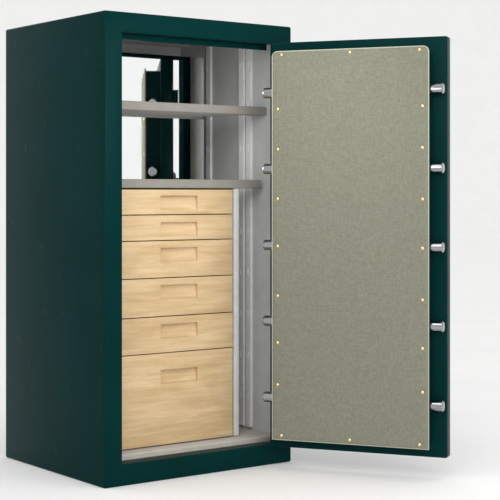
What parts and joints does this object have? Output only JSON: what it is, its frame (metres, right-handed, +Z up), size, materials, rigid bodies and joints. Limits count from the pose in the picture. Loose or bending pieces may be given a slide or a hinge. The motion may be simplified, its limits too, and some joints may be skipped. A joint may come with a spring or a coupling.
{
  "type": "gun safe",
  "caption": "Tall steel gun safe with a swung-open bolted door, dial and spoke handle, shelves, mirror, a long gun aisle and wooden drawers",
  "frame": {"origin": "centre of the body footprint, on the floor", "axes": "+Z up along the height, -Y out of the door opening, +X to the viewer right facing the front"},
  "size_m": [1.0019, 1.265, 1.524],
  "materials": {
    "green_paint": "gloss dark green enamel",
    "fireboard": null,
    "grey_liner": "short grey pile",
    "beige_carpet": "grey-beige carpet",
    "weave_fabric": "olive-grey woven cloth",
    "birch": "satin clear lacquer",
    "mirror": "silvered glass",
    "chrome": "polished",
    "zinc_steel": "zinc plated",
    "brass": "machined",
    "black_plastic": "semi-gloss"
  },
  "bodies": {
    "safe_body": {"aisle_divider": "grey_liner", "back_panel": "green_paint", "base_panel": "green_paint", "cabinet_left_side": "birch", "door_stop_left": "green_paint", "door_stop_top": "green_paint", "fireboard_back": "fireboard", "fireboard_left": "fireboard", "fireboard_right": "fireboard", "fireboard_top": "fireboard", "floor_carpet": "beige_carpet", "front_frame_bottom": "green_paint", "front_frame_left": "green_paint", "front_frame_right": "green_paint", "front_frame_top": "green_paint", "hinge_lower_body_knuckle": "green_paint", "hinge_upper_body_knuckle": "green_paint", "left_side_panel": "green_paint", "liner_back": "grey_liner", "liner_ceiling": "grey_liner", "liner_left": "grey_liner", "liner_right": "grey_liner", "lower_shelf": "beige_carpet", "mirror": "mirror", "right_side_panel": "green_paint", "shelf_standard_left_1": "zinc_steel", "shelf_standard_left_2": "zinc_steel", "shelf_standard_right_1": "zinc_steel", "shelf_standard_right_2": "zinc_steel", "shelf_standard_right_3": "zinc_steel", "top_panel": "green_paint", "upper_shelf": "beige_carpet"},
    "door": {"door_outer_shell": "green_paint", "door_inner_plate": "green_paint", "door_fireboard": "fireboard", "door_pan": "green_paint", "door_lining_panel": "weave_fabric", "lock_case": "zinc_steel", "dial_ring": "black_plastic", "hinge_lower_door_knuckle": "green_paint", "hinge_upper_door_knuckle": "green_paint"},
    "lock_side_bolts": {"lock_side_boltwork": "chrome"},
    "hinge_side_bolts": {"hinge_side_boltwork": "chrome"},
    "handle": {"door_handle": "chrome", "handle_spindle_pinion": "zinc_steel"},
    "dial": {"combination_dial": "black_plastic"},
    "lock_bolt": {"lock_bolt": "brass"},
    "drawer_1": {"drawer_1_front": "birch", "drawer_1_box": "birch"},
    "drawer_2": {"drawer_2_front": "birch", "drawer_2_box": "birch"},
    "drawer_3": {"drawer_3_front": "birch", "drawer_3_box": "birch"},
    "drawer_4": {"drawer_4_front": "birch", "drawer_4_box": "birch"},
    "drawer_5": {"drawer_5_front": "birch", "drawer_5_box": "birch"},
    "drawer_6": {"drawer_6_front": "birch", "drawer_6_box": "birch"}
  },
  "joints": [
    {"name": "door_swing", "type": "hinge", "parent": "safe_body", "child": "door", "pos_m": [0.3055, -0.35, 0.75], "axis": [0, 0, 1], "range_deg": [-121.7, 50]},
    {"name": "handle_turn", "type": "hinge", "parent": "door", "child": "handle", "pos_m": [0.45857, -0.61688, 0.8], "axis": [-0.8508, -0.5255, 0], "range_deg": [0, 90]},
    {"name": "lock_side_bolts_slide", "type": "slide", "parent": "door", "child": "lock_side_bolts", "axis": [-0.5255, 0.8508, 0], "range_m": [0, 0.0276]},
    {"name": "hinge_side_bolts_slide", "type": "slide", "parent": "door", "child": "hinge_side_bolts", "axis": [0.5255, -0.8508, 0], "range_m": [0, 0.0276]},
    {"name": "dial_turn", "type": "hinge", "parent": "door", "child": "dial", "pos_m": [0.45857, -0.61688, 0.985], "axis": [0.8508, 0.5255, 0], "continuous": true},
    {"name": "lock_bolt_slide", "type": "slide", "parent": "door", "child": "lock_bolt", "axis": [0, 0, 1], "range_m": [-0.009, 0]},
    {"name": "drawer_1_slide", "type": "slide", "parent": "safe_body", "child": "drawer_1", "axis": [0, -1, 0], "range_m": [0, 0.36]},
    {"name": "drawer_2_slide", "type": "slide", "parent": "safe_body", "child": "drawer_2", "axis": [0, -1, 0], "range_m": [0, 0.36]},
    {"name": "drawer_3_slide", "type": "slide", "parent": "safe_body", "child": "drawer_3", "axis": [0, -1, 0], "range_m": [0, 0.36]},
    {"name": "drawer_4_slide", "type": "slide", "parent": "safe_body", "child": "drawer_4", "axis": [0, -1, 0], "range_m": [0, 0.36]},
    {"name": "drawer_5_slide", "type": "slide", "parent": "safe_body", "child": "drawer_5", "axis": [0, -1, 0], "range_m": [0, 0.36]},
    {"name": "drawer_6_slide", "type": "slide", "parent": "safe_body", "child": "drawer_6", "axis": [0, -1, 0], "range_m": [0, 0.36]}
  ],
  "couplings": [
    {"joint": "lock_side_bolts_slide", "follows": "handle_turn", "m_per_rad": 0.0175},
    {"joint": "hinge_side_bolts_slide", "follows": "handle_turn", "m_per_rad": 0.0175}
  ]
}
